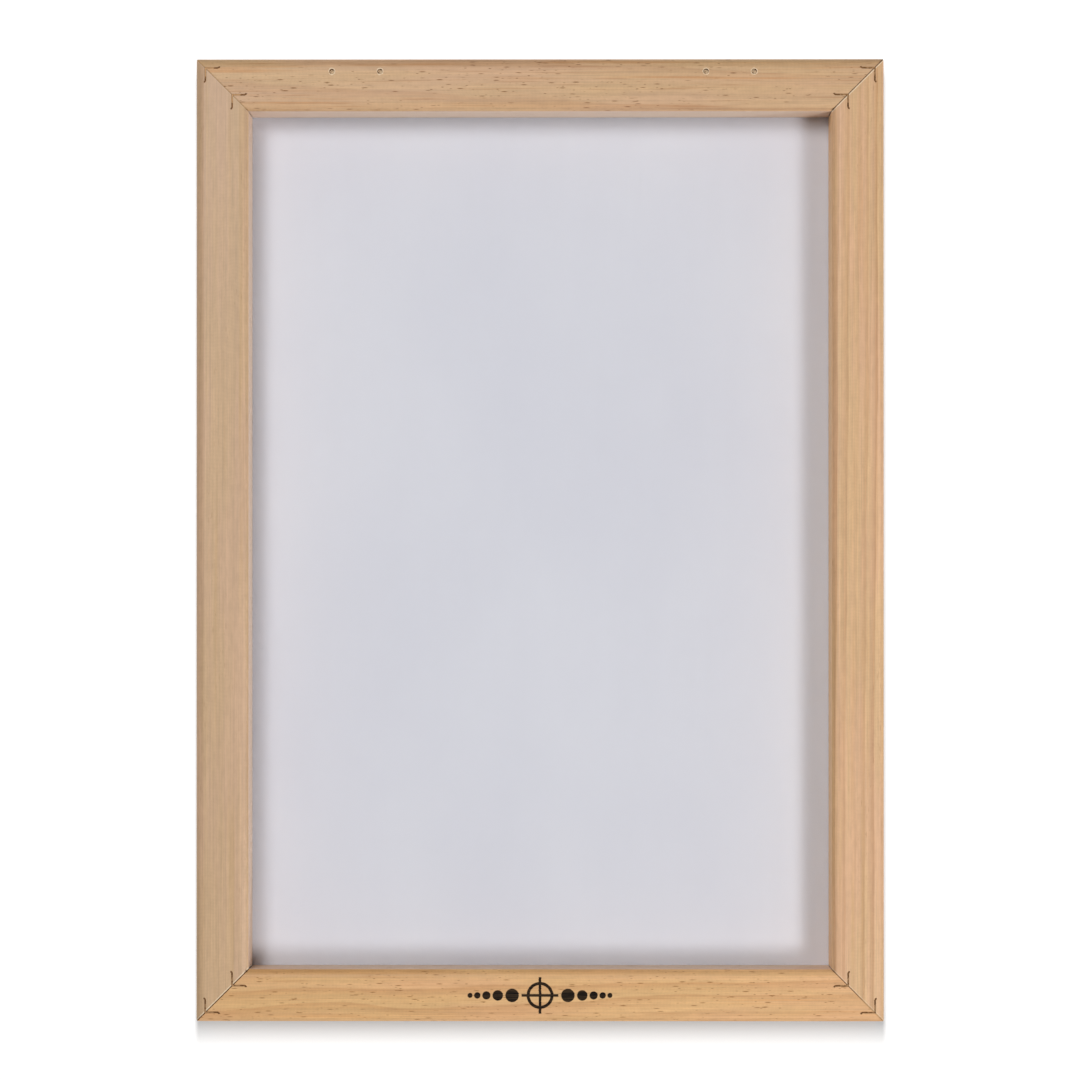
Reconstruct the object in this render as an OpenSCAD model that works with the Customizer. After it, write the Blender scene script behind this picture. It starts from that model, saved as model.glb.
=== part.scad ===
// Screen printing frame: four mitred wooden rails, V-nailed and glued at the corners, with a
// woven mesh stretched over the print side and held by cords pressed into a groove.
// It lies as it is used: print side down on z = 0, squeegee side up, hinge rail at +Y.
// The origin is the middle of the print side. Millimetres.

/* [Frame] */
// Overall width, across the two short rails
frame_w = 254; // [180:1:420]
// Overall length, along the two long rails
frame_l = 355.6; // [240:0.1:600]
// Width of a rail's face
rail_w = 19.2; // [18:0.1:32]
// Depth of a rail, from its print side to its squeegee side
rail_h = 28.5; // [24:0.5:45]

/* [Edges] */
// How far each crowned edge reaches onto the squeegee side's face
crown_w = 3.4; // [0.5:0.1:3.5]
// Radius of the crowned edges, which meet the rail's sides at a blunt angle
crown_r = 4.4; // [3.6:0.1:12]
// Radius of both edges on the print side
print_round = 0.6; // [0.2:0.1:1.5]

/* [Groove and cord] */
// Distance from a rail's outer side to its groove
groove_in = 7; // [5:0.5:9]
// Width of the groove
groove_w = 5; // [4:0.1:6]
// Depth of the groove
groove_d = 5.4; // [5:0.1:7]
// Gap between two cords where they meet in a corner
cord_gap = 0.8; // [0.2:0.1:3]

/* [Mesh] */
// Thickness of the woven mesh
mesh_t = 0.15; // [0.08:0.01:0.3]
// Width of the mesh's trimmed edge outside the groove
mesh_tail = 3.5; // [1:0.5:4.5]

/* [Corner joints] */
// Length of each leg of a V-nail
nail_leg = 4.4; // [3:0.1:6]
// Thickness of a V-nail's steel
nail_t = 0.5; // [0.3:0.05:0.8]
// Height of a V-nail, down into the wood
nail_h = 10; // [6:0.5:12]
// How far a V-nail is driven below the face
nail_sink = 0.45; // [0:0.05:1]
// Distance of the outer V-nail's point from both outer sides
nail_outer_at = 3.3; // [2.5:0.1:5]
// Distance of the inner V-nail's point from both outer sides
nail_inner_at = 13.2; // [11:0.1:13.5]
// Thickness of the glue in a mitre
glue_t = 0.2; // [0.05:0.05:0.4]

/* [Hinge starter holes] */
// Distance between the middles of the two pairs of holes
hinge_spacing = 138.3; // [80:0.1:139]
// Distance between the two holes of a pair
screw_spacing = 17.8; // [12:0.1:20]
// How far both pairs sit to the right of the rail's middle
hinge_offset = 1.1; // [-3:0.1:3]
// Distance of the holes from the rail's outer side
hole_in = 4.6; // [4:0.1:6]
// Diameter of a hole
hole_d = 2; // [1.2:0.1:2.6]
// Depth of a hole's round wall
hole_depth = 1.8; // [1.5:0.1:12]

/* [Hidden] */
RAILS = ["bottom_rail", "right_rail", "top_rail", "left_rail"];
CORDS = ["bottom_cord", "right_cord", "top_cord", "left_cord"];
CORNERS = ["bottom_left", "bottom_right", "top_right", "top_left"];

face_z = mesh_t + rail_h;                   // the squeegee side's face
groove_end = groove_in + groove_w;          // the groove's inner wall, from the outer side
cord_d = groove_w - 2 * mesh_t - 0.1;       // the cord fills the lined groove
cord_z = groove_d - 0.05 - cord_d / 2;      // the cord's axis, just below the lining's roof
nail_slack = 0.06;                          // crushed wood beside a V-nail
nail_edge = 1.2;                            // height of a V-nail's sharpened lower edge
hook_r = 0.9;                               // radius of the curl at the end of a V-nail's leg
hook_turn = 70;                             // angle that the curl turns through
glue_back = 0.35;                           // how far the glue stays in from every face
drill_tip = hole_d / 2 * tan(31);           // height of a 118 degree drill point
past = 1;                                   // how far a cutter runs past the face it opens

function rail_length(side) = side % 2 == 0 ? frame_w : frame_l;
function half_span(side) = (side % 2 == 0 ? frame_l : frame_w) / 2;

// Stands children on a side of the frame: 0 bottom, then anticlockwise. Their x runs along the
// rail from its middle, their y inwards from its outer side.
module on_side(side) {
    rotate([0, 0, 90 * side]) translate([0, -half_span(side), 0]) children();
}

// Puts children in a corner, with x and y running inwards from its two outer sides.
module at_corner(corner) {
    rotate([0, 0, 90 * corner])
        translate([-rail_length(corner) / 2, -half_span(corner), 0]) children();
}

// The waste outside a round edge whose corner is the origin and whose solid is at +x +y.
module edge_waste(r) {
    difference() {
        translate([-past, -past]) square(r + past);
        translate([r, r]) circle(r, $fn = 48);
    }
}

// The waste above a crowned edge: its arc leaves the face, y = 0, at crown_w and cuts the side, x = 0.
module crown_waste() {
    difference() {
        translate([-past, -past]) square(crown_w + past);
        translate([crown_w, crown_r]) circle(crown_r, $fn = 96);
    }
}

// A rail's section: x inwards from the outer side, y up from the print side.
module rail_section() {
    difference() {
        square([rail_w, rail_h]);
        edge_waste(print_round);
        translate([rail_w, 0]) mirror([1, 0]) edge_waste(print_round);
        translate([0, rail_h]) mirror([0, 1]) crown_waste();
        translate([rail_w, rail_h]) rotate(180) crown_waste();
        translate([groove_in, -past]) square([groove_w, groove_d + past]);
    }
}

// The plan of one side's share of the frame, with a gap between it and the next two sides.
module mitre_plan(length, gap) {
    half = length / 2 - gap / sqrt(2);
    polygon([[-half, 0], [half, 0], [half - rail_w, rail_w], [rail_w - half, rail_w]]);
}

module rail(side) {
    color(side % 2 == 0 ? "burlywood" : "tan")
        difference() {
            on_side(side) intersection() {
                translate([0, 0, mesh_t]) rotate([90, 0, 90])
                    linear_extrude(rail_length(side), center = true) rail_section();
                linear_extrude(face_z + past) mitre_plan(rail_length(side), glue_t);
            }
            for (corner = [side, (side + 1) % 4]) {
                nail_slot(corner, nail_outer_at);
                nail_slot(corner, nail_inner_at);
            }
        }
}

// The hinge rail has two pairs of starter holes in its squeegee side.
module top_rail() {
    color("burlywood") difference() {
        rail(2);
        for (pair = [-1, 1], screw = [-1, 1])
            translate([
                hinge_offset + pair * hinge_spacing / 2 + screw * screw_spacing / 2,
                frame_l / 2 - hole_in,
                face_z
            ]) starter_hole();
    }
}

module starter_hole() {
    translate([0, 0, -hole_depth]) cylinder(h = hole_depth + past, d = hole_d, $fn = 32);
    translate([0, 0, -hole_depth - drill_tip])
        cylinder(h = drill_tip, d1 = 0, d2 = hole_d, $fn = 32);
}

// Half of a V-nail's outline, on the leg along +x: out along one face, round the curl that
// turns outwards to -y, and back along the other face. w is the steel's full width.
function leg_outline(w) =
    let (steps = 6, centre = [nail_leg, -hook_r])
    concat(
        [[w / 2, w / 2]],
        [for (i = [0:steps])
            centre + (hook_r + w / 2) * [sin(hook_turn * i / steps), cos(hook_turn * i / steps)]],
        [for (i = [steps:-1:0])
            centre + (hook_r - w / 2) * [sin(hook_turn * i / steps), cos(hook_turn * i / steps)]],
        [[-w / 2, -w / 2]]
    );

// The whole outline: the half leg, and its mirror in the corner's diagonal.
function nail_outline(w) =
    let (leg = leg_outline(w), n = len(leg))
    concat(leg, [for (i = [n - 2:-1:1]) [leg[i][1], leg[i][0]]]);

// A V-nail's body, its point towards the frame's corner. The lower edge of each leg is ground
// thin from inside the V.
module nail_body() {
    edge_t = nail_t / 4;
    slope = atan((nail_t - edge_t) / nail_edge);
    difference() {
        translate([0, 0, -nail_h]) linear_extrude(nail_h) polygon(nail_outline(nail_t));
        for (swap = [0, 1]) mirror([swap, -swap, 0])
            translate([nail_t / 2, edge_t - nail_t / 2, -nail_h]) rotate([-slope, 0, 0])
                translate([0, 0, -past]) cube([nail_leg + hook_r, nail_t + past, nail_edge + 2 * past]);
    }
}

module v_nail(corner, at) {
    color("dimgray") at_corner(corner) translate([at, at, face_z - nail_sink]) nail_body();
}

module nail_slot(corner, at) {
    at_corner(corner) translate([at, at, face_z - nail_sink - nail_h])
        linear_extrude(nail_h + nail_sink + past) polygon(nail_outline(nail_t + 2 * nail_slack));
}

// The film of glue in a mitre, kept in from every face and clear of the groove and V-nails.
module glue(corner) {
    near = glue_back;
    far = rail_w - glue_back;
    half = glue_t / 2 / sqrt(2);
    color("goldenrod") difference() {
        at_corner(corner) translate([0, 0, mesh_t + glue_back])
            linear_extrude(rail_h - 2 * glue_back)
                polygon([[near - half, near + half], [near + half, near - half],
                         [far + half, far - half], [far - half, far + half]]);
        at_corner(corner) translate([groove_in - glue_back, groove_in - glue_back, 0])
            cube([groove_w + 2 * glue_back, groove_w + 2 * glue_back,
                  mesh_t + groove_d + glue_back]);
        nail_slot(corner, nail_outer_at);
        nail_slot(corner, nail_inner_at);
    }
}

// A cord lies in one side's groove, between the mitres, with its ends cut to meet the next two.
module cord(side) {
    color("ivory") on_side(side) intersection() {
        translate([0, groove_in + groove_w / 2, cord_z]) rotate([0, 90, 0])
            cylinder(h = rail_length(side), d = cord_d, center = true, $fn = 48);
        linear_extrude(groove_d + mesh_t) mitre_plan(rail_length(side), cord_gap);
    }
}

// A flat rectangular ring between two distances in from the frame's outer sides.
module ring(outer_in, inner_in, z, h) {
    translate([0, 0, z]) difference() {
        translate([outer_in - frame_w / 2, outer_in - frame_l / 2, 0])
            cube([frame_w - 2 * outer_in, frame_l - 2 * outer_in, h]);
        translate([inner_in - frame_w / 2, inner_in - frame_l / 2, -past])
            cube([frame_w - 2 * inner_in, frame_l - 2 * inner_in, h + 2 * past]);
    }
}

// One piece of cloth: the flat field, the tuck that lines the groove, and the trimmed edge.
module screen_mesh() {
    field_in = groove_end - mesh_t;
    color("whitesmoke") union() {
        translate([field_in - frame_w / 2, field_in - frame_l / 2, 0])
            cube([frame_w - 2 * field_in, frame_l - 2 * field_in, mesh_t]);
        ring(field_in, groove_end, 0, mesh_t + groove_d);
        ring(groove_in, groove_end, groove_d, mesh_t);
        ring(groove_in, groove_in + mesh_t, 0, mesh_t + groove_d);
        ring(groove_in - mesh_tail, groove_in + mesh_t, 0, mesh_t);
    }
}

for (side = [0, 1, 3])
    rail(side);
top_rail();
for (side = [0:3])
    cord(side);
screen_mesh();
for (i = [0:3])
    glue(i);
for (i = [0:3])
    v_nail(i, nail_outer_at);
for (i = [0:3])
    v_nail(i, nail_inner_at);
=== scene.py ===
"""Looks of a wooden screen printing frame: planed pine rails, V-nails, woven mesh and its cords.

Lengths are in metres, in the frame's own axes: x across, y along, z up from the print side.
Material patterns work in millimetres.
"""

import math
import random

import bmesh
import bpy
from mathutils import Matrix, Vector, noise


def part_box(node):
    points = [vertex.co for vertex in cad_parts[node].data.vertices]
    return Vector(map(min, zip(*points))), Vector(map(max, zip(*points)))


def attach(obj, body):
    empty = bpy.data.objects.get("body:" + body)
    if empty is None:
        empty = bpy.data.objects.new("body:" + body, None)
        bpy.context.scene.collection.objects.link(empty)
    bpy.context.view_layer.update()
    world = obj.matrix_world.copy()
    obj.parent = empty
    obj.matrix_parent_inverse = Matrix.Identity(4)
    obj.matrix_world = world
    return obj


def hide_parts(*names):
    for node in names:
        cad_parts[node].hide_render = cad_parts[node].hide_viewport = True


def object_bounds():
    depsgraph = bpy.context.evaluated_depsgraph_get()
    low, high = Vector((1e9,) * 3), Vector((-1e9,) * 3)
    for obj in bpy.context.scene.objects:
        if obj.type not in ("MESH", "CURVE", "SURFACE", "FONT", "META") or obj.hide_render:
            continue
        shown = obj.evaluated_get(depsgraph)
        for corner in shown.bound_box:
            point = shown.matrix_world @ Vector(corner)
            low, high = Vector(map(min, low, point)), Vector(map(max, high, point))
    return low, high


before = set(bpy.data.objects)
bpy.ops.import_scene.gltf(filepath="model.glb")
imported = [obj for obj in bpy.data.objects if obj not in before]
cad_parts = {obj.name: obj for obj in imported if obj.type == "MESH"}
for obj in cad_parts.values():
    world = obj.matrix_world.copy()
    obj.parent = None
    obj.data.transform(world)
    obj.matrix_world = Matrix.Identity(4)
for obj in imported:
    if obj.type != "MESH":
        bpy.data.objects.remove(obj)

MM = 0.001
CAD_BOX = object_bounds()
SIDES = ("bottom", "right", "top", "left")      # anticlockwise, as the rails are numbered
CORNERS = ("bottom_left", "bottom_right", "top_right", "top_left")

# ---------------------------------------------------------------- sizes, from the frame

HALF_W, HALF_L, FACE_Z = CAD_BOX[1]
rail_low, rail_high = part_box("bottom_rail")
RAIL_W = rail_high.y - rail_low.y
RAIL_BACK = rail_low.z                          # the mesh's thickness
cord_low, cord_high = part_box("bottom_cord")
CORD_R = (cord_high.z - cord_low.z) / 2
CORD_Z = (cord_high.z + cord_low.z) / 2
CORD_IN = (cord_high.y + cord_low.y) / 2 + HALF_L
CORD_END = HALF_W - cord_high.x                 # from the outer side to a short cord's end
TAIL_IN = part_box("screen_mesh")[0].x + HALF_W   # from the outer side to the mesh's cut edge
CROWN_W, CROWN_R = 3.4, 4.4                     # of the rails' crowned edges, in millimetres
HINGE_SPACING, SCREW_SPACING = 138.3, 17.8      # of the screw holes in the top rail, in millimetres
HINGE_OFFSET, HOLE_IN = 1.1, 4.6                # their shift along the rail, and distance from its outer side
BOX_DISTANCE = 1.6                              # of a softbox from the frame's middle


def half_span(side):
    """From the middle of the frame to a side's outer face."""
    return HALF_L if side % 2 == 0 else HALF_W


def half_length(side):
    """Half the length of a side's rail."""
    return HALF_W if side % 2 == 0 else HALF_L


def side_matrix(side):
    """Places what is drawn with x along a rail and y inwards from its outer face."""
    turn = Matrix.Rotation(math.radians(90 * side), 4, "Z")
    return turn @ Matrix.Translation((0, -half_span(side), 0))


# ---------------------------------------------------------------- material graphs


class Graph:
    """A material's nodes, made by short calls that return sockets."""

    def __init__(self, name):
        self.material = bpy.data.materials.new(name)
        self.material.use_nodes = True
        self.nodes = self.material.node_tree.nodes
        self.links = self.material.node_tree.links
        self.nodes.clear()
        self.output = self.nodes.new("ShaderNodeOutputMaterial")
        self.shader = self.nodes.new("ShaderNodeBsdfPrincipled")
        self.links.new(self.shader.outputs[0], self.output.inputs[0])

    def feed(self, socket, value):
        if isinstance(value, bpy.types.NodeSocket):
            self.links.new(value, socket)
        elif isinstance(value, (tuple, list)) and socket.type == "RGBA":
            socket.default_value = (*value[:3], 1)
        else:
            socket.default_value = value

    def surface(self, **inputs):
        """Sets the shader's inputs, named with underscores for spaces."""
        for name, value in inputs.items():
            self.feed(self.shader.inputs[name.replace("_", " ")], value)

    def node(self, kind, inputs, **settings):
        n = self.nodes.new(kind)
        for name, value in settings.items():
            setattr(n, name, value)
        for key, value in inputs.items():
            self.feed(n.inputs[key], value)
        return n

    def place(self, location=(0, 0, 0), rotation=(0, 0, 0)):
        """The row frame's position in millimetres, turned and then moved."""
        coordinates = self.node("ShaderNodeTexCoord", {}).outputs["Object"]
        return self.mapped(coordinates, (1 / MM,) * 3, location, rotation)

    def mapped(self, vector, scale=(1, 1, 1), location=(0, 0, 0), rotation=(0, 0, 0)):
        return self.node(
            "ShaderNodeMapping",
            {"Vector": vector, "Location": location, "Rotation": rotation, "Scale": scale},
        ).outputs[0]

    def math(self, operation, a, b=0.0, c=0.0):
        return self.node("ShaderNodeMath", {0: a, 1: b, 2: c}, operation=operation).outputs[0]

    def vector(self, operation, a, b=(0, 0, 0)):
        n = self.node("ShaderNodeVectorMath", {0: a, 1: b}, operation=operation)
        return n.outputs["Value" if operation in ("LENGTH", "DOT_PRODUCT", "DISTANCE") else "Vector"]

    def xyz(self, vector):
        return self.node("ShaderNodeSeparateXYZ", {0: vector}).outputs

    def join(self, x, y, z):
        return self.node("ShaderNodeCombineXYZ", {0: x, 1: y, 2: z}).outputs[0]

    def noise(self, vector, scale=(1, 1, 1), detail=2.0, roughness=0.5, at=(0, 0, 0), distortion=0.0):
        """Noise from about 0 to 1 in a stretched space."""
        inputs = {
            "Vector": self.mapped(vector, scale, at),
            "Scale": 1.0,
            "Detail": detail,
            "Roughness": roughness,
            "Distortion": distortion,
        }
        return self.node("ShaderNodeTexNoise", inputs).outputs[0]

    def attribute(self, name):
        """A position stored on the vertices, in millimetres."""
        stored = self.node("ShaderNodeAttribute", {}, attribute_name=name).outputs["Vector"]
        return self.mapped(stored, (1 / MM,) * 3)

    def cells(self, vector, scale, at=(0, 0, 0)):
        """Distance to the nearest of a scatter of points in a stretched space."""
        inputs = {"Vector": self.mapped(vector, scale, at), "Scale": 1.0}
        return self.node("ShaderNodeTexVoronoi", inputs, feature="F1").outputs["Distance"]

    def step(self, value, low, high, to_low=0.0, to_high=1.0):
        """Runs smoothly from to_low to to_high while value runs from low to high."""
        inputs = {"Value": value, 1: low, 2: high, 3: to_low, 4: to_high}
        n = self.node("ShaderNodeMapRange", inputs, interpolation_type="SMOOTHSTEP")
        return n.outputs[0]

    def ramp(self, value, stops):
        n = self.node("ShaderNodeValToRGB", {0: value})
        elements = n.color_ramp.elements
        while len(elements) < len(stops):
            elements.new(0.5)
        for element, (position, grey) in zip(elements, stops):
            element.position = position
            element.color = (grey, grey, grey, 1)
        return n.outputs[0]

    def mix(self, amount, a, b, blend="MIX"):
        n = self.node("ShaderNodeMix", {}, data_type="RGBA", blend_type=blend)
        for socket, value in ((n.inputs[0], amount), (n.inputs[6], a), (n.inputs[7], b)):
            self.feed(socket, value)
        return n.outputs[2]

    def shade(self, colour, factor):
        """The colour times a factor."""
        return self.mix(1.0, colour, self.join(factor, factor, factor), "MULTIPLY")

    def bump(self, height, distance, strength=1.0):
        inputs = {"Height": height, "Distance": distance, "Strength": strength}
        return self.node("ShaderNodeBump", inputs).outputs[0]


def linear(red, green, blue):
    """A colour given as it shows on screen, from 0 to 255."""
    def one(v):
        v /= 255
        return v / 12.92 if v < 0.04045 else ((v + 0.055) / 1.055) ** 2.4
    return one(red), one(green), one(blue)


# ---------------------------------------------------------------- pine


def pine(side, look):
    """A planed softwood rail: x of the grain's space runs along it, y in from its outer face."""
    g = Graph(f"{SIDES[side]}_rail_pine")
    seed = look["seed"]
    p = g.place((0, half_span(side) / MM, 0), (0, 0, math.radians(-90 * side)))
    along, across, up = g.xyz(p)[:3]
    half = half_length(side) / MM
    rail_w = RAIL_W / MM
    face = FACE_Z / MM

    # growth rings round a pith well outside the rail, wandering and tilted along it
    pith_y, pith_z = look["pith"]
    core = g.mapped(p, (1, 1, 1), (0, -pith_y, -pith_z), (0, look["tilt"][0], look["tilt"][1]))
    wander = g.noise(p, (0.009, 0.03, 0.03), 2, 0.5, (seed, 3.1, 7.7))
    ripple = g.noise(p, (0.05, 0.35, 0.35), 2, 0.5, (seed, 9.4, 1.2))
    radius = g.vector("LENGTH", g.vector("MULTIPLY", core, (0, 1, 1)))
    radius = g.math("MULTIPLY_ADD", wander, look["wander"], radius)
    radius = g.math("MULTIPLY_ADD", ripple, 0.7, radius)
    uneven = g.noise(g.join(radius, seed, 0.5), (0.13, 1, 1), 1)
    years = g.math("MULTIPLY_ADD", uneven, 1.6, g.math("DIVIDE", radius, look["ring"]))
    ring = g.ramp(
        g.math("FRACT", years), [(0, 0.05), (0.12, 0), (0.5, 0.22), (0.82, 0.8), (0.93, 1), (1.0, 0.05)]
    )
    band = g.noise(g.join(years, seed, 4.4), (0.9, 1, 1), 0)
    ring = g.math("MULTIPLY", ring, g.step(band, 0.3, 0.7, 0.35, 1.15))

    # fibres, in three sizes
    wide = g.noise(p, (0.006, 0.42, 0.42), 3, 0.55, (0, seed, 2.9))
    fibre = g.noise(p, (0.018, 1.7, 1.7), 5, 0.62, (seed, 0, 5.3), 0.3)
    fine = g.noise(p, (0.09, 7.0, 7.0), 3, 0.6, (2.6, seed, 0))

    # short dark flecks, which gather in drifts, and long thin streaks
    drift = g.noise(p, (0.016, 0.12, 0.12), 2, 0.5, (seed, 6.6, 0.4))
    drift = g.step(drift, look["drift"], look["drift"] + 0.16)
    fleck_at = g.vector("ADD", p, g.join(0.0, g.math("MULTIPLY", fibre, 0.35), 0.0))
    fleck = g.step(g.cells(fleck_at, (0.24, 1.25, 1.25), (0, seed, 0)), 0.17, 0.06)
    thin = g.step(g.cells(fleck_at, (0.12, 2.3, 2.3), (seed, 0, 0)), 0.16, 0.05)
    dash = g.step(g.cells(fleck_at, (0.12, 0.85, 0.85), (seed, seed, 0)), 0.20, 0.06)
    fleck = g.math("MAXIMUM", fleck, g.math("MAXIMUM", dash, g.math("MULTIPLY", thin, 0.6)))
    fleck = g.math("MULTIPLY", g.math("MULTIPLY", fleck, drift), look["flecks"])
    streak = g.noise(p, (0.030, 1.35, 1.35), 3, 0.55, (seed, 5.5, 1.1))
    streak = g.math("MULTIPLY", g.step(streak, 0.57, 0.70), look["streaks"])

    # hue drifts: pinkish and yellowish patches, and a few amber streaks of resin
    patch = g.noise(p, (0.011, 0.075, 0.075), 2, 0.5, (seed, 1.7, 8.8))
    tint = g.math("SUBTRACT", g.noise(p, (0.007, 0.42, 0.42), 2, 0.5, (seed, 8.1, 2.2)), 0.5)
    hue = g.math("MULTIPLY_ADD", tint, look["striped"], patch)
    mottle = g.noise(p, (0.20, 0.55, 0.55), 2, 0.6, (seed, 4.1, 6.2))
    amber = g.noise(p, (0.009, 0.5, 0.5), 2, 0.5, (4.2, seed, 3.3))
    amber = g.math("MULTIPLY", g.step(amber, 0.60, 0.74), look["resin"])

    # a planer's cutter marks across the grain
    stroke = g.math("MULTIPLY_ADD", g.noise(p, (0.05, 0.12, 0.12), 1, 0.5, (seed, 0, 0)), 5.0, along)
    cutter = g.math("SINE", g.math("MULTIPLY", stroke, 2 * math.pi / look["cutter"]))
    cutter = g.math("MULTIPLY", cutter, g.step(patch, 0.35, 0.6, 0.35, 1.0))

    colour = g.mix(g.step(hue, 0.36, 0.64), look["pink"], look["yellow"])
    colour = g.mix(g.math("MULTIPLY", ring, look["contrast"]), colour, look["late"])
    colour = g.mix(g.math("MULTIPLY", amber, 0.55), colour, look["amber"])
    colour = g.shade(colour, g.step(wide, 0.25, 0.75, 0.955, 1.045))
    colour = g.shade(colour, g.step(fibre, 0.28, 0.72, 0.90, 1.075))
    colour = g.shade(colour, g.step(mottle, 0.28, 0.72, 0.958, 1.042))
    colour = g.shade(colour, g.step(fine, 0.25, 0.75, 0.955, 1.04))
    colour = g.shade(colour, g.math("MULTIPLY_ADD", cutter, 0.014, 1.0))
    colour = g.mix(g.math("MULTIPLY", streak, 0.5), colour, look["late"])
    colour = g.mix(g.math("MULTIPLY", fleck, 0.68), colour, look["fleck"])
    # painted light: the inner walls below the crown are painted a paler colour, set per side, standing in for
    # light reflected onto them; the same mask weights the sheen
    wall = g.math(
        "MULTIPLY",
        g.step(across, rail_w - 0.5, rail_w - 0.2),
        g.step(up, face - 1.3, face - 1.9),
    )
    colour = g.mix(g.math("MULTIPLY", wall, look["wall_painted_light"]), colour, look["wall"])

    # distances to what handling and sawing have marked, and to the mitres, where some get a pale strip of
    # painted highlight
    from_side = g.math("MINIMUM", across, g.math("SUBTRACT", rail_w, across))
    edge = g.math("MAXIMUM", from_side, g.math("SUBTRACT", face, up))
    from_end = g.math("SUBTRACT", half, g.math("ABSOLUTE", along))
    mitre = g.math("MULTIPLY", g.math("ABSOLUTE", g.math("SUBTRACT", from_end, across)), 0.7071)
    ragged = g.noise(p, (0.35, 1.4, 1.4), 3, 0.6, (7.1, 0, seed))
    worn = g.step(g.math("MULTIPLY_ADD", ragged, -1.1, edge), -0.3, 0.75, 1.0, 0.0)
    colour = g.mix(g.math("MULTIPLY", worn, 0.30), colour, look["worn"])
    broken = g.math("MULTIPLY_ADD", ragged, -0.35, mitre)
    # first a pale cream strip of painted highlight along one side of some mitres, then the dark sawn line
    for width, ends, shade in (
        (0.42, look["mitre_highlight_ends"], look["cream"]),
        (0.22, look["dark_ends"], look["worn"]),
    ):
        amount = g.step(along, -1.0, 1.0, *ends)
        seam = g.math("MULTIPLY", g.step(broken, width, width - 0.25), amount)
        colour = g.mix(seam, colour, shade)

    # painted shade darkens what was cut into the face: the nails' slots and the screw holes
    slope = g.math("MAXIMUM", g.math("SUBTRACT", CROWN_W, from_side), 0.0)
    drop = g.math("SUBTRACT", CROWN_R ** 2, g.math("MULTIPLY", slope, slope))
    drop = g.math("SUBTRACT", CROWN_R, g.math("SQRT", drop))
    depth = g.math("SUBTRACT", g.math("SUBTRACT", face, drop), up)
    sunk = g.math("MULTIPLY", g.step(depth, 0.10, 0.30), g.step(up, 12.0, 14.0))
    sunk = g.math("MULTIPLY", sunk, g.step(from_side, 0.6, 1.0))
    recess_shade = g.math("MULTIPLY", sunk, g.step(along, -1.0, 1.0, *look["recess_shade_ends"]))
    colour = g.mix(recess_shade, colour, linear(98, 60, 30))
    if look.get("holes"):
        hole = g.math("ABSOLUTE", g.math("ADD", along, HINGE_OFFSET))
        hole = g.math("ABSOLUTE", g.math("SUBTRACT", hole, HINGE_SPACING / 2))
        hole = g.math("ABSOLUTE", g.math("SUBTRACT", hole, SCREW_SPACING / 2))
        hole = g.vector("LENGTH", g.join(hole, g.math("SUBTRACT", across, HOLE_IN), 0.0))
        ragged_from_hole = g.math("MULTIPLY_ADD", g.noise(p, (1.3, 1.3, 1.3), 2, 0.5, (seed, 2, 4)), -0.9, hole)
        # painted shade, lighter than in the slots: the screw holes' walls are painted brown
        bored = g.math("MULTIPLY", sunk, g.step(hole, 2.0, 1.5))
        colour = g.mix(bored, colour, linear(134, 86, 46))
        # painted highlight: a cream spot in each hole's middle
        core = g.math("MULTIPLY", bored, g.step(ragged_from_hole, 0.60, 0.20))
        colour = g.mix(core, colour, linear(252, 226, 188))
        # a paler ring on the face round each hole
        rim = g.math("MULTIPLY", g.step(ragged_from_hole, 0.95, 0.7), g.math("SUBTRACT", 1.0, sunk))
        colour = g.mix(g.math("MULTIPLY", rim, 0.5), colour, look["cream"])

    roughness = g.step(fibre, 0.2, 0.8, 0.50, 0.64)
    roughness = g.math("MULTIPLY_ADD", ring, -0.07, roughness)
    roughness = g.math("MULTIPLY_ADD", worn, -0.08, roughness)
    dull = g.math("MAXIMUM", g.math("MAXIMUM", sunk, seam), fleck)
    if look.get("mark"):
        ink = printed_mark(g, p, fibre, fine)
        colour = g.mix(ink, colour, linear(10, 7, 7))
        dull = g.math("MAXIMUM", dull, ink)
    polish = g.math("SUBTRACT", 1.0, dull)

    height = g.math("MULTIPLY_ADD", ring, 0.5, g.math("MULTIPLY", fibre, 0.9))
    height = g.math("MULTIPLY_ADD", fine, 0.35, height)
    height = g.math("MULTIPLY_ADD", fleck, -0.8, height)
    height = g.math("MULTIPLY_ADD", cutter, 0.16, height)
    g.surface(
        Base_Color=colour,
        Roughness=roughness,
        Normal=g.bump(height, 0.04 * MM, 0.9),
        IOR=1.45,
        Specular_IOR_Level=g.math("MULTIPLY_ADD", polish, 0.32, 0.06),
        Coat_Weight=g.math("MULTIPLY", polish, 0.3),
        Coat_Roughness=0.38,
        Sheen_Weight=g.math("MULTIPLY", wall, look["fuzz"]),
        Sheen_Roughness=0.35,
        Sheen_Tint=(1.0, 0.93, 0.86),
    )
    return g.material


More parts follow.
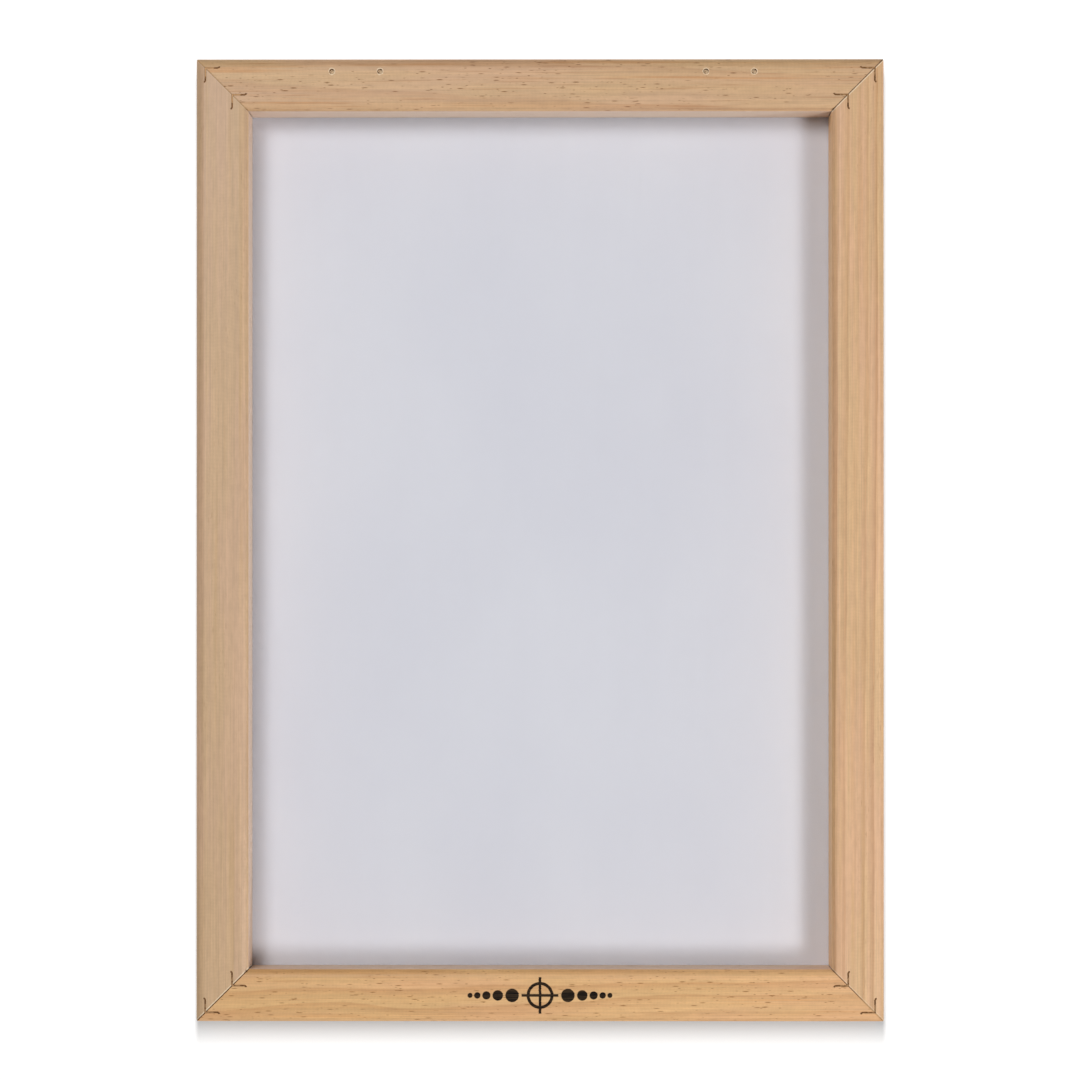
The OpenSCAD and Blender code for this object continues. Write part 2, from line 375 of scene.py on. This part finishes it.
def printed_mark(g, p, fibre, fine):
    """A plain registration target between two rows of shrinking dots, in ink that follows the fibres."""
    bleed = g.math("MULTIPLY", g.math("SUBTRACT", fibre, 0.5), 0.5)
    parts = g.xyz(g.vector("ADD", p, g.join(bleed, g.math("MULTIPLY", bleed, 0.3), 0.0)))
    middle = RAIL_W / MM / 2
    x = g.math("ABSOLUTE", parts[0])
    y = g.math("ABSOLUTE", g.math("SUBTRACT", parts[1], middle))
    spot = g.join(x, y, 0.0)
    soft = 0.12
    ring_r, ring_w, line_w, line_end = 4.4, 1.15, 1.0, 6.8
    from_ring = g.math("ABSOLUTE", g.math("SUBTRACT", g.vector("LENGTH", spot), ring_r))
    ink = g.step(from_ring, ring_w / 2 + soft, ring_w / 2 - soft)
    for thin, long in ((x, y), (y, x)):
        bar = g.step(thin, line_w / 2 + soft, line_w / 2 - soft)
        bar = g.math("MULTIPLY", bar, g.step(long, line_end + soft, line_end - soft))
        ink = g.math("MAXIMUM", ink, bar)
    dot_x, dot_r = 10.3, 2.5
    least_r, dot_gap, shrink = 0.8, 0.3, 0.78
    while dot_r > least_r:
        gap = g.vector("DISTANCE", spot, (dot_x, 0, 0))
        ink = g.math("MAXIMUM", ink, g.step(gap, dot_r + soft, dot_r - soft))
        dot_x += dot_r * 2 + dot_gap
        dot_r *= shrink
    on_face = g.step(g.xyz(p)[2], (FACE_Z / MM) - 0.06, (FACE_Z / MM) - 0.03)
    cover = g.step(g.math("MULTIPLY_ADD", fibre, 0.5, fine), 0.66, 0.90, 1.0, 0.93)
    return g.math("MULTIPLY", g.math("MULTIPLY", ink, on_face), cover)


# painted light: the paler colour painted on the inner walls
PAINTED_WALL_LIGHT = linear(240, 208, 182)
CREAM = linear(246, 226, 194)

PINE = {
    "bottom": {
        "seed": 11.3, "pith": (-26.0, -38.0), "tilt": (0.010, -0.012), "wander": 7.0, "ring": 3.4,
        "flecks": 1.0, "drift": 0.32, "streaks": 0.8, "striped": 0.2, "resin": 0.7,
        "cutter": 1.3, "contrast": 0.46, "mark": True,
        "pink": linear(215, 167, 119), "yellow": linear(213, 170, 115), "late": linear(186, 132, 79),
        "amber": linear(197, 130, 61), "fleck": linear(115, 70, 32), "worn": linear(108, 71, 40),
        "wall_painted_light": 0.3, "fuzz": 0.3, "wall": PAINTED_WALL_LIGHT,
        "cream": CREAM, "mitre_highlight_ends": (0.0, 0.0), "dark_ends": (0.95, 0.4),
        "recess_shade_ends": (0.65, 0.65),
    },
    "right": {
        "seed": 4.9, "pith": (130.0, 16.0), "tilt": (0.002, 0.004), "wander": 3.0, "ring": 3.3,
        "flecks": 0.35, "drift": 0.48, "streaks": 0.5, "striped": 0.6, "resin": 0.35,
        "cutter": 1.25, "contrast": 0.55,
        "pink": linear(213, 170, 132), "yellow": linear(208, 170, 126), "late": linear(178, 128, 85),
        "amber": linear(195, 144, 81), "fleck": linear(127, 83, 46), "worn": linear(113, 79, 48),
        "wall_painted_light": 0.9, "fuzz": 0.1, "wall": linear(255, 200, 130),
        "cream": CREAM, "mitre_highlight_ends": (0.25, 0.6), "dark_ends": (0.2, 0.1),
        "recess_shade_ends": (0.65, 0.5),
    },
    "top": {
        "seed": 7.2, "pith": (44.0, -52.0), "tilt": (0.014, 0.006), "wander": 6.0, "ring": 4.2,
        "flecks": 1.15, "drift": 0.38, "streaks": 1.1, "striped": 0.25, "resin": 1.0,
        "cutter": 1.4, "contrast": 0.38,
        "pink": linear(203, 164, 127), "yellow": linear(201, 164, 121), "late": linear(172, 123, 80),
        "amber": linear(190, 128, 66), "fleck": linear(110, 68, 34), "worn": linear(106, 77, 50),
        "wall_painted_light": 0.5, "fuzz": 0.35, "wall": PAINTED_WALL_LIGHT,
        "cream": CREAM, "mitre_highlight_ends": (0.0, 0.0), "dark_ends": (0.6, 0.15), "holes": True,
        "recess_shade_ends": (0.5, 0.2),
    },
    "left": {
        "seed": 2.6, "pith": (12.0, -70.0), "tilt": (0.006, 0.008), "wander": 5.0, "ring": 5.0,
        "flecks": 0.3, "drift": 0.46, "streaks": 0.4, "striped": 0.7, "resin": 0.3,
        "cutter": 1.35, "contrast": 0.30,
        "pink": linear(198, 163, 131), "yellow": linear(195, 162, 125), "late": linear(171, 134, 97),
        "amber": linear(183, 142, 81), "fleck": linear(124, 88, 54), "worn": linear(108, 83, 56),
        "wall_painted_light": 0.6, "fuzz": 0.6, "wall": linear(255, 210, 170),
        "cream": CREAM, "mitre_highlight_ends": (0.1, 0.6), "dark_ends": (0.15, 0.1),
        "recess_shade_ends": (0.15, 0.65),
    },
}


def finish_rails():
    for side, name in enumerate(SIDES):
        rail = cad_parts[f"{name}_rail"]
        rail.material_slots[0].material = pine(side, PINE[name])
        eased = rail.modifiers.new("eased edges", "BEVEL")
        eased.width = 0.09 * MM
        eased.segments = 2
        eased.limit_method = "ANGLE"
        eased.angle_limit = math.radians(30)
        eased.harden_normals = False


# ---------------------------------------------------------------- V-nails and glue


def corner_of(g, p):
    """How far a place belongs to the right and to the upper half of the frame, each from 0 to 1."""
    x, y = g.xyz(p)[:2]
    return g.step(x, -1, 1), g.step(y, -1, 1)


def steel():
    """V-nails below the face: bare at the bends and tips, packed with wood dust between."""
    g = Graph("v_nail_steel")
    p = g.place()
    right, high = corner_of(g, p)
    blotch = g.noise(p, (0.9, 0.9, 0.5), 4, 0.6)
    rust = g.step(g.noise(p, (2.2, 2.2, 1.2), 4, 0.65, (3, 1, 4)), 0.5, 0.68)
    colour = g.mix(g.step(blotch, 0.3, 0.7), linear(112, 78, 48), linear(148, 108, 70))
    colour = g.mix(g.math("MULTIPLY", rust, 0.7), colour, linear(96, 56, 28))
    mirrored = g.vector("ABSOLUTE", g.vector("MULTIPLY", p, (1, 1, 0)))
    from_bend = []
    for row in ("outer", "inner"):
        far_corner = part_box(f"v_nail_{row}_top_right")[1]
        bend = (far_corner.x / MM, far_corner.y / MM, 0)
        from_bend.append(g.vector("DISTANCE", mirrored, bend))
    reach = g.math("MINIMUM", *from_bend)
    bare = g.math("MAXIMUM", g.step(reach, 1.0, 0.6), g.step(reach, 3.5, 4.0))
    upper_left = g.math("MULTIPLY", g.math("SUBTRACT", 1.0, right), high)
    packed = g.math("MULTIPLY_ADD", upper_left, 0.2, g.noise(p, (1.1, 1.1, 0.2), 2, 0.5, (2, 7, 1)))
    clogged = g.step(packed, 0.34, 0.56)
    dust = g.math("MULTIPLY", clogged, g.math("MULTIPLY_ADD", upper_left, 0.35, 0.6))
    dust = g.math("MULTIPLY", dust, g.math("SUBTRACT", 1.0, bare))
    colour = g.mix(dust, colour, linear(214, 170, 122))
    scratch = g.noise(p, (14, 14, 0.6), 2)
    g.surface(
        Base_Color=colour,
        Metallic=g.math("MULTIPLY_ADD", dust, -0.35, 0.35),
        Specular_IOR_Level=0.1,
        Roughness=g.math("MULTIPLY_ADD", rust, 0.3, g.step(scratch, 0.2, 0.8, 0.38, 0.55)),
        Normal=g.bump(scratch, 0.01 * MM, 0.6),
    )
    return g.material


def glue():
    """Glue lines: dark in two corners, thin and pale where the mitres are tight."""
    g = Graph("wood_glue")
    p = g.place()
    right, high = corner_of(g, p)
    cloud = g.noise(p, (0.6, 0.6, 0.6), 3)
    x = g.math("ABSOLUTE", g.xyz(p)[0])
    outwards = g.math("SUBTRACT", x, (HALF_W - RAIL_W) / MM)
    low_right = g.math("MULTIPLY", right, g.math("SUBTRACT", 1.0, high))
    high_left = g.math("MULTIPLY", g.math("SUBTRACT", 1.0, right), high)
    tight = g.math("MULTIPLY", low_right, g.step(outwards, 9.0, 13.0))
    tight = g.math("MULTIPLY_ADD", high_left, 0.8, tight)
    dark = g.mix(cloud, linear(66, 34, 14), linear(98, 56, 26))
    pale = g.mix(cloud, linear(186, 146, 98), linear(206, 168, 116))
    g.surface(
        Base_Color=g.mix(tight, dark, pale),
        Roughness=g.step(cloud, 0.3, 0.7, 0.38, 0.55),
        Specular_IOR_Level=0.06,
        Normal=g.bump(g.noise(p, (2.5, 2.5, 2.5), 3), 0.03 * MM),
    )
    return g.material


def finish_joints():
    nail_steel, wood_glue = steel(), glue()
    for corner in CORNERS:
        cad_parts[f"glue_{corner}"].material_slots[0].material = wood_glue
        for row in ("outer", "inner"):
            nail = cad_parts[f"v_nail_{row}_{corner}"]
            nail.material_slots[0].material = nail_steel
            eased = nail.modifiers.new("eased edges", "BEVEL")
            eased.width = 0.05 * MM
            eased.limit_method = "ANGLE"
            eased.angle_limit = math.radians(40)


# ---------------------------------------------------------------- mesh pieces


def new_piece(name, bm, material):
    """Makes a smooth-shaded piece that rides the frame's one body."""
    mesh = bpy.data.meshes.new(name)
    bm.to_mesh(mesh)
    bm.free()
    piece = bpy.data.objects.new(name, mesh)
    bpy.context.scene.collection.objects.link(piece)
    mesh.materials.append(material)
    mesh.polygons.foreach_set("use_smooth", [True] * len(mesh.polygons))
    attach(piece, "root")
    return piece


THREAD_PITCH = 25.4 / 110                       # 110 threads to the inch
THREAD_D = 0.08


def woven_polyester():
    """White monofilament in a plain weave: threads cross over and under, with open holes between."""
    g = Graph("polyester_mesh")
    flat = g.attribute("flat")
    wander = g.noise(flat, (0.05, 0.05, 1), 2)
    drawn = g.math("MULTIPLY", g.math("SUBTRACT", wander, 0.5), 0.22)
    x, y = (g.math("DIVIDE", g.math("ADD", axis, drawn), THREAD_PITCH) for axis in g.xyz(flat)[:2])
    half = THREAD_D / THREAD_PITCH / 2
    covers, heights = [], []
    for across, along in ((x, y), (y, x)):
        off = g.math("ABSOLUTE", g.math("SUBTRACT", g.math("FRACT", across), 0.5))
        covers.append(g.step(off, half * 1.15, half * 0.85))
        phase = g.math("ADD", along, g.math("FLOOR", across))
        lift = g.math("COSINE", g.math("MULTIPLY", phase, math.pi))
        over = lift if not heights else g.math("MULTIPLY", lift, -1.0)
        heights.append(g.math("MULTIPLY", covers[-1], g.math("MULTIPLY_ADD", over, 0.5, 1.0)))
    cloth = g.math("MAXIMUM", *covers)
    height = g.math("MAXIMUM", *heights)
    cloud = g.noise(flat, (0.013, 0.008, 1), 3, 0.5)
    slub = g.noise(flat, (0.9, 0.012, 1), 2)
    colour = g.mix(g.step(cloud, 0.3, 0.7), linear(234, 236, 250), linear(241, 243, 255))
    colour = g.shade(colour, g.step(slub, 0.2, 0.8, 0.985, 1.01))
    g.surface(
        Base_Color=colour,
        Roughness=g.step(cloud, 0.2, 0.8, 0.42, 0.52),
        Alpha=cloth,
        Normal=g.bump(height, 0.03 * MM, 0.35),
    )
    return g.material


def mesh_path():
    """The cloth's section over one rail, from the field out: points inwards and up, in metres."""
    mid = RAIL_BACK / 2                         # the height of the cloth's middle where it lies flat
    bend = 0.20 * MM                            # tight enough to clear the sharp edge of the groove
    field_edge = 6 * MM
    inner_wall = CORD_R + RAIL_BACK             # from the cord's axis to the cloth on the groove's walls
    points = [(CORD_IN + inner_wall + bend + field_edge, mid), (CORD_IN + inner_wall + bend, mid)]
    for i in range(1, 5):
        a = math.radians(90 * i / 4)
        points.append((CORD_IN + inner_wall + bend * (1 - math.sin(a)), mid + bend * (1 - math.cos(a))))
    for i in range(13):
        a = math.radians(180 * i / 12)
        points.append((CORD_IN + inner_wall * math.cos(a), CORD_Z + inner_wall * math.sin(a)))
    for i in range(4, -1, -1):
        a = math.radians(90 * i / 4)
        points.append((CORD_IN - inner_wall - bend * (1 - math.sin(a)), mid + bend * (1 - math.cos(a))))
    start = points[-1][0]
    steps = 8
    points += [(start + (TAIL_IN - start) * i / steps, mid) for i in range(1, steps + 1)]
    return points


def stretched_mesh(material):
    """One cloth: a flat field, tucked round the cord in each rail's groove, and trimmed outside it."""
    path = mesh_path()
    bm = bmesh.new()
    flat = bm.verts.layers.float_vector.new("flat")
    columns, rows = 60, 84
    inset = path[0][0]
    x0, y0 = HALF_W - inset, HALF_L - inset
    grid = []
    for j in range(rows + 1):
        line = []
        for i in range(columns + 1):
            x, y = x0 * (2 * i / columns - 1), y0 * (2 * j / rows - 1)
            v = bm.verts.new((x, y, path[0][1]))
            v[flat] = (x, y, 0)
            line.append(v)
        grid.append(line)
    for j in range(rows):
        for i in range(columns):
            bm.faces.new((grid[j][i], grid[j][i + 1], grid[j + 1][i + 1], grid[j + 1][i]))
    rim = grid[0][:-1] + [line[-1] for line in grid[:-1]]
    rim += grid[-1][:0:-1] + [line[0] for line in grid[:0:-1]]
    loose = CORD_IN - CORD_R - 1.2 * MM         # from here out the cut edge wavers
    gone = 0.0
    last = rim
    for (u_was, z_was), (u, z) in zip(path, path[1:]):
        gone += math.hypot(u - u_was, z - z_was)
        ring = []
        for corner in rim:
            x, y, _ = corner.co
            sx, sy = (HALF_W - u) / x0, (HALF_L - u) / y0
            waver = 0.0
            if u < loose:
                share = (loose - u) / (loose - TAIL_IN)
                waver = share * 0.5 * MM * abs(noise.noise((x * 60, y * 60, 3.3)))
            dx = math.copysign(waver, x) if abs(abs(x) - x0) < 1e-6 else 0.0
            dy = math.copysign(waver, y) if abs(abs(y) - y0) < 1e-6 else 0.0
            v = bm.verts.new((x * sx - dx, y * sy - dy, z))
            v[flat] = (x * (x0 + gone) / x0, y * (y0 + gone) / y0, 0)
            ring.append(v)
        count = len(ring)
        for i in range(count):
            bm.faces.new((last[i], ring[i], ring[(i + 1) % count], last[(i + 1) % count]))
        last = ring
    bmesh.ops.recalc_face_normals(bm, faces=bm.faces)
    cloth = new_piece("stretched_mesh", bm, material)
    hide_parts("screen_mesh")
    return cloth, (2 * (x0 + gone), 2 * (y0 + gone))


def frayed_threads(material):
    """Loose thread ends along the mesh's cut edge, lying against the rails' backs."""
    rng = random.Random(8)
    bm = bmesh.new()
    r = 0.03 * MM
    z = RAIL_BACK - 2 * r
    for side in range(4):
        place = side_matrix(side)
        reach = half_length(side) - TAIL_IN
        threads = 130 if side % 2 else 90       # more on a long side
        for _ in range(threads):
            x, y = rng.uniform(-reach, reach), TAIL_IN + rng.uniform(0.1, 0.6) * MM
            heading = math.radians(-90 + rng.gauss(0, 28))
            turn = math.radians(rng.gauss(0, 30))
            piece = rng.uniform(0.35, 0.75) * MM
            last = None
            for _ in range(4):
                end = Vector((x, y, z))
                x, y = x + piece * math.cos(heading) / 2, y + piece * math.sin(heading) / 2
                heading += turn / 3
                normal = Vector((-math.sin(heading), math.cos(heading), 0)) * r
                corners = (end + normal, end + Vector((0, 0, r)), end - normal, end - Vector((0, 0, r)))
                ring = [bm.verts.new(place @ c) for c in corners]
                if last:
                    for k in range(4):
                        bm.faces.new((last[k], last[(k + 1) % 4], ring[(k + 1) % 4], ring[k]))
                else:
                    bm.faces.new(ring[::-1])
                last = ring
            bm.faces.new(last)
    return new_piece("frayed_mesh_threads", bm, material)


def thread_polyester():
    g = Graph("polyester_thread")
    p = g.place()
    g.surface(
        Base_Color=g.mix(g.noise(p, (0.4, 0.4, 0.4), 2), linear(232, 231, 236), linear(245, 244, 247)),
        Roughness=0.4,
        Normal=g.bump(g.noise(p, (9, 9, 9), 2), 0.005 * MM),
    )
    return g.material


def cotton():
    g = Graph("cotton_cord")
    along, turn = g.xyz(g.attribute("strand"))[:2]
    yarn = g.math("SINE", g.math("ADD", g.math("MULTIPLY", along, 4.6), turn))
    p = g.place()
    fuzz = g.noise(p, (3.2, 3.2, 3.2), 4, 0.65)
    colour = g.mix(g.step(yarn, -1, 1), linear(202, 194, 176), linear(234, 229, 216))
    colour = g.shade(colour, g.step(fuzz, 0.25, 0.75, 0.9, 1.05))
    g.surface(
        Base_Color=colour,
        Roughness=0.85,
        Sheen_Weight=0.3,
        Sheen_Roughness=0.5,
        Normal=g.bump(g.math("MULTIPLY_ADD", fuzz, 0.6, yarn), 0.12 * MM, 0.8),
    )
    return g.material


def twisted_cord(side, material):
    """Three twisted strands in one side's groove, cut on the mitres at both ends."""
    strands, steps, sides = 3, 12, 10
    lay = 9 * MM                                # the length of one full twist
    squeeze = 1.04                              # the strands are pressed a little into each other
    strand_r = CORD_R / (1 + 2 / math.sqrt(3)) * squeeze
    helix_r = CORD_R - strand_r
    half = half_length(side)
    count = math.ceil(2 * half / lay * steps)
    bm = bmesh.new()
    mark = bm.verts.layers.float_vector.new("strand")
    for strand in range(strands):
        last = None
        for i in range(count + 1):
            x = half * (2 * i / count - 1)
            a = 2 * math.pi * (x / lay + strand / strands)
            middle = Vector((x, CORD_IN + helix_r * math.cos(a), CORD_Z + helix_r * math.sin(a)))
            ring = []
            for k in range(sides):
                b = a + 2 * math.pi * k / sides
                swell = 1 + 0.03 * noise.noise((x * 300, strand * 5.0, k * 1.7))
                offset = Vector((0, math.cos(b), math.sin(b))) * strand_r * swell
                v = bm.verts.new(middle + offset)
                v.co.y = CORD_IN + max(-CORD_R, min(CORD_R, v.co.y - CORD_IN))
                v[mark] = (x, (b + a) * MM, 0)
                ring.append(v)
            if last:
                for k in range(sides):
                    bm.faces.new((last[k], ring[k], ring[(k + 1) % sides], last[(k + 1) % sides]))
            last = ring
    end = half - (CORD_END - CORD_IN + CORD_R)
    for sign in (-1, 1):
        cut = bmesh.ops.bisect_plane(
            bm,
            geom=bm.verts[:] + bm.edges[:] + bm.faces[:],
            plane_co=(sign * (end - CORD_IN), CORD_IN, 0),
            plane_no=(sign, 1, 0),
            clear_outer=True,
        )
        rims = [e for e in cut["geom_cut"] if isinstance(e, bmesh.types.BMEdge)]
        bmesh.ops.edgeloop_fill(bm, edges=rims)
    bmesh.ops.recalc_face_normals(bm, faces=bm.faces)
    bm.transform(side_matrix(side))
    cord = new_piece(f"{SIDES[side]}_twisted_cord", bm, material)
    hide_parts(f"{SIDES[side]}_cord")


# ---------------------------------------------------------------- studio


def floor_material(name, grey, glow):
    g = Graph(name)
    p = g.place()
    cloud = g.noise(p, (0.004, 0.004, 1), 2)
    g.surface(
        Base_Color=g.mix(cloud, (grey, grey, grey), (grey * 1.01,) * 3),
        Roughness=0.9,
        Specular_IOR_Level=0.1,
        Emission_Color=(1, 1, 1),
        Emission_Strength=glow,
    )
    return g.material


def disc(name, radius, z, material, rim):
    """A round sheet of backdrop paper, whose edge curves up to the rim's height."""
    bm = bmesh.new()
    spokes = 96
    profile = [(radius, z)]
    profile += [
        (radius + rim * math.sin(math.radians(a)), z + rim * (1 - math.cos(math.radians(a))))
        for a in range(10, 91, 10)
    ]
    angles = [2 * math.pi * i / spokes for i in range(spokes)]
    rings = [[bm.verts.new((r * math.cos(a), r * math.sin(a), h)) for a in angles] for r, h in profile]
    bm.faces.new(rings[0])
    for low, high in zip(rings, rings[1:]):
        for i in range(spokes):
            bm.faces.new((low[(i + 1) % spokes], low[i], high[i], high[(i + 1) % spokes]))
    mesh = bpy.data.meshes.new(name)
    bm.to_mesh(mesh)
    bm.free()
    sheet = bpy.data.objects.new(name, mesh)
    bpy.context.scene.collection.objects.link(sheet)
    mesh.materials.append(material)
    mesh.polygons.foreach_set("use_smooth", [True] * len(mesh.polygons))
    return sheet


def rectangle(name, half_x, half_y, z, material):
    bm = bmesh.new()
    bm.faces.new([bm.verts.new((x, y, z)) for x, y in
                  ((-half_x, -half_y), (half_x, -half_y), (half_x, half_y), (-half_x, half_y))])
    mesh = bpy.data.meshes.new(name)
    bm.to_mesh(mesh)
    bm.free()
    sheet = bpy.data.objects.new(name, mesh)
    bpy.context.scene.collection.objects.link(sheet)
    mesh.materials.append(material)
    return sheet


def softbox(name, towards, size, watts, distance=BOX_DISTANCE):
    """A white area light in a direction from the frame, aimed at its middle."""
    light = bpy.data.lights.new(name, "AREA")
    light.shape = "RECTANGLE"
    light.size, light.size_y = size
    light.energy = watts
    lamp = bpy.data.objects.new(name, light)
    direction = Vector(towards).normalized()
    lamp.location = direction * distance
    lamp.rotation_euler = direction.to_track_quat("Z", "Y").to_euler()
    bpy.context.scene.collection.objects.link(lamp)
    return lamp


def shine_on(lamp, objects, only):
    """Limits a light to some objects, or keeps it off them."""
    group = bpy.data.collections.new(f"{lamp.name} receivers")
    for o in objects:
        group.objects.link(o)
    for item in group.collection_objects:
        item.light_linking.link_state = "INCLUDE" if only else "EXCLUDE"
    lamp.light_linking.receiver_collection = group


def studio():
    """Softboxes over a white sweep: low right, high left, and two that rake the rails."""
    inset = 6 * MM
    paper = floor_material("paper", 0.89, 0)
    rectangle("paper_under_frame", HALF_W - inset, HALF_L - inset, -0.02 * MM, paper)
    sweep = disc("white_sweep", 7.0, -0.2 * MM, floor_material("sweep", 0.45, 0.45), rim=1.5)
    key = softbox("softbox_low_right", (0.44, -0.315, 1), (0.38, 0.28), 8.6)
    second = softbox("softbox_high_left", (-0.24, 0.26, 1), (0.42, 0.42), 9.95)
    for lamp in (key, second):
        shine_on(lamp, [sweep], only=False)
    rails = [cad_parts[f"{name}_rail"] for name in SIDES]
    for name, direction, watts in (
        ("rake_from_front", (0.42, -1.6, 1), 4.6),
        ("rake_from_right", (1.6, -0.30, 1), 5.6),
    ):
        rake = softbox(name, direction, (0.30, 0.26), watts)
        rake.data.cycles.max_bounces = 0        # no light from it on into the corners
        shine_on(rake, rails, only=True)
    sweep_light = softbox("sweep_light", (0, 0.16, 1), (0.12, 0.6), 46, distance=1.8)
    shine_on(sweep_light, [sweep], only=True)
    world = bpy.data.worlds.new("soft_fill")
    world.use_nodes = True
    background = world.node_tree.nodes["Background"]
    background.inputs["Color"].default_value = (0.97, 0.98, 1, 1)
    background.inputs["Strength"].default_value = 0.12
    bpy.context.scene.world = world
    bpy.context.scene.view_settings.view_transform = "Standard"


def camera():
    """Looks straight down from a copy stand, a little below and to the right of the frame's middle."""
    data = bpy.data.cameras.new("camera")
    eye = Vector((12 * MM, -32 * MM, 2.15))
    seen = 398.966 * MM                         # the picture's width, measured at the rails' face
    depth = eye.z - FACE_Z
    data.sensor_width = 36
    data.lens = depth / seen * data.sensor_width
    data.shift_y = 0.06
    data.clip_start, data.clip_end = 0.1, 40
    tilt = math.atan2(eye.y, depth) + math.atan(data.shift_y * data.sensor_width / data.lens)
    pan = math.atan2(eye.x, depth)
    lens = bpy.data.objects.new("camera", data)
    lens.location = eye
    lens.rotation_euler = (-tilt, pan, 0)
    bpy.context.scene.collection.objects.link(lens)
    bpy.context.scene.camera = lens


# ---------------------------------------------------------------- the scene

camera()
finish_rails()
finish_joints()
cloth, cut_size = stretched_mesh(woven_polyester())
fringe = frayed_threads(thread_polyester())
cord_cotton = cotton()
for cord_side in range(4):
    twisted_cord(cord_side, cord_cotton)
studio()
